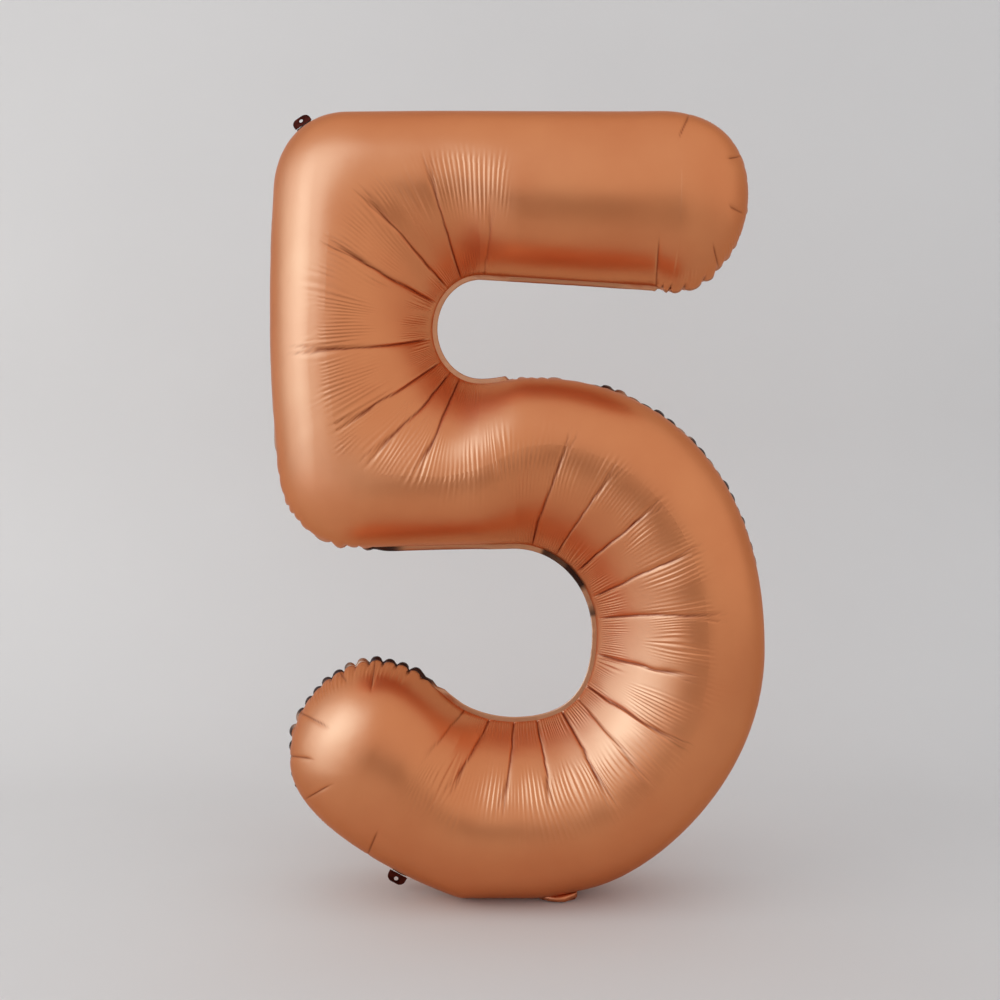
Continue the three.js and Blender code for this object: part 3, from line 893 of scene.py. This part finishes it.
def ply(name, node, seed):
    low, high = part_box(node)
    middle = (low[2] + high[2]) / 2
    path = [(y, middle) for y in (low[1], low[1] * 0.5, 0, high[1] * 0.6, high[1])]
    return strip(name, path, low[0], high[0], 40, seed, 0.00008, 0.0001, rounded=0.45)


def valve_strip(name, node, seed):
    """Clear valve film: an upright strip that waves a little inside its place."""
    low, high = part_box(node)
    middle = (low[1] + high[1]) / 2
    noise = Noise(seed)
    x = np.linspace(low[0], high[0], 18)
    rows = []
    for z in np.linspace(low[2], high[2], 40):
        wave = 0.0001 * noise.at(x / 0.012 + 8, z / 0.02)
        rows.append(np.stack([x, middle + wave, np.full(18, z)], axis=1))
    bm, _, _ = grid_on(np.array(rows), closed=False)
    bmesh.ops.recalc_face_normals(bm, faces=bm.faces)
    bmesh.ops.solidify(bm, geom=bm.faces, thickness=0.0001)
    return object_from(bm, name)


# ---- camera, floor and light ----------------------------------------------------------------------

def camera():
    data = bpy.data.cameras.new("camera")
    data.sensor_width = 36
    data.lens = 36.63
    cam = bpy.data.objects.new("camera", data)
    cam.location = (VIEW_CENTRE[0], -VIEW_DISTANCE, VIEW_CENTRE[1])
    cam.rotation_euler = (math.radians(90), 0, 0)
    bpy.context.collection.objects.link(cam)
    bpy.context.scene.camera = cam


def card(name, bm, centre, size, facing, material):
    bmesh.ops.scale(bm, vec=(size[0], size[1], 1), verts=bm.verts)
    turn = Vector(facing).to_track_quat("Z", "Y").to_matrix()
    bmesh.ops.rotate(bm, verts=bm.verts, matrix=turn)
    bmesh.ops.translate(bm, verts=bm.verts, vec=centre)
    piece = object_from(bm, name, smooth=False)
    piece.data.materials.append(material)
    return piece


def flag(name, centre, size, facing, material):
    """A dark oval card that only the foil's reflections see."""
    bm = bmesh.new()
    bmesh.ops.create_circle(bm, cap_ends=True, segments=48, radius=0.5)
    piece = card(name, bm, centre, size, facing, material)
    piece.visible_camera = False
    piece.visible_diffuse = False
    piece.visible_shadow = False
    piece.visible_transmission = False


def area_light(name, place, target, size, power, colour=(1, 1, 1)):
    data = bpy.data.lights.new(name, "AREA")
    data.shape = "RECTANGLE"
    data.size, data.size_y = size
    data.energy = power
    data.color = colour
    lamp = bpy.data.objects.new(name, data)
    lamp.location = place
    lamp.rotation_euler = (Vector(target) - Vector(place)).to_track_quat("-Z", "Y").to_euler()
    bpy.context.collection.objects.link(lamp)
    return lamp


def sweep(width, back, radius, height, material):
    """Pale paper: the floor runs back and turns up into the backdrop in one curve."""
    bm = bmesh.new()
    start = bm.verts.new((-width / 2, -3.5, 0))
    edge = [start, bm.verts.new((-width / 2, back, 0))]
    bm.edges.new(edge)
    for k in range(1, 17):
        turn = math.radians(90 * k / 16)
        rise = radius * (1 - math.cos(turn))
        edge.append(bm.verts.new((-width / 2, back + radius * math.sin(turn), rise)))
        bm.edges.new(edge[-2:])
    edge.append(bm.verts.new((-width / 2, back + radius, height)))
    bm.edges.new(edge[-2:])
    side = bmesh.ops.extrude_edge_only(bm, edges=bm.edges)["geom"]
    bmesh.ops.translate(bm, verts=[v for v in side if isinstance(v, bmesh.types.BMVert)], vec=(width, 0, 0))
    piece = object_from(bm, "paper_sweep")
    piece.data.materials.append(material)


def studio():
    sweep(9, 0.35, 0.6, 3.2, matt("pale_paper", (0.76, 0.75, 0.745), 2))
    dark = matt("flag_cloth", (0.50, 0.46, 0.42), 5)
    flag("front_flag", (0.0, -1.6, 0.20), (1.2, 0.56), (0, 1, 0), dark)
    flag("floor_flag", (0.0, -1.25, 0.001), (1.2, 0.8), (0, 0, 1), dark)
    world = bpy.data.worlds.new("room")
    world.use_nodes = True
    world.node_tree.nodes["Background"].inputs["Color"].default_value = (0.97, 0.98, 1.0, 1)
    world.node_tree.nodes["Background"].inputs["Strength"].default_value = 0.79
    bpy.context.scene.world = world
    bpy.context.scene.view_settings.view_transform = "Standard"
    window = ((-2.0, -0.92, 0.98), (0, 0, 0.5), (1.7, 1.7))
    area_light("window_wash", *window, 12, WARM_WASH).visible_glossy = False
    area_light("window_glow", *window, 80, COOL_GLOW).visible_diffuse = False
    high = ((-1.5, -1.5, 1.9), (0, 0, 0.6), (1.8, 1.4))
    area_light("high_glow", *high, 16, COOL_GLOW).visible_diffuse = False


# ---- assembly -------------------------------------------------------------------------------------

camera()
studio()

foil = satin_copper()
front = film_panel("front_film", 3, 0.0, back=False)
dress(front, foil, "envelope", "satin_foil", "front_foil_panel")
back = film_panel("back_film", 17, 1.0, back=True)
dress(back, foil, "envelope", "satin_foil", "back_foil_panel")
margin = border()
dress(margin, sealed_margin(), "envelope", "sealed_margin", "heat_sealed_border")

neck_film = creased_copper()
root_fold = collar()
dress(root_fold, neck_film, "envelope", "neck_foil", "inflation_neck_collar")
front_ply = ply("neck_front_ply", "inflation_neck_front_ply", 61)
dress(front_ply, neck_film, "inflation_neck", "neck_foil", "inflation_neck_front_ply")
back_ply = ply("neck_back_ply", "inflation_neck_back_ply", 62)
dress(back_ply, neck_film, "inflation_neck", "neck_foil", "inflation_neck_back_ply")

valve = clear_film()
valve_front = valve_strip("valve_front_strip", "valve_film_front", 71)
dress(valve_front, valve, "valve_front", "valve_film", "valve_film_front")
valve_back = valve_strip("valve_back_strip", "valve_film_back", 72)
dress(valve_back, valve, "envelope", "valve_film", "valve_film_back")

tab_film = fused_tab()
for node in ("hanging_tab_top_left", "hanging_tab_bottom_left"):
    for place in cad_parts[node].material_slots:
        place.material = tab_film
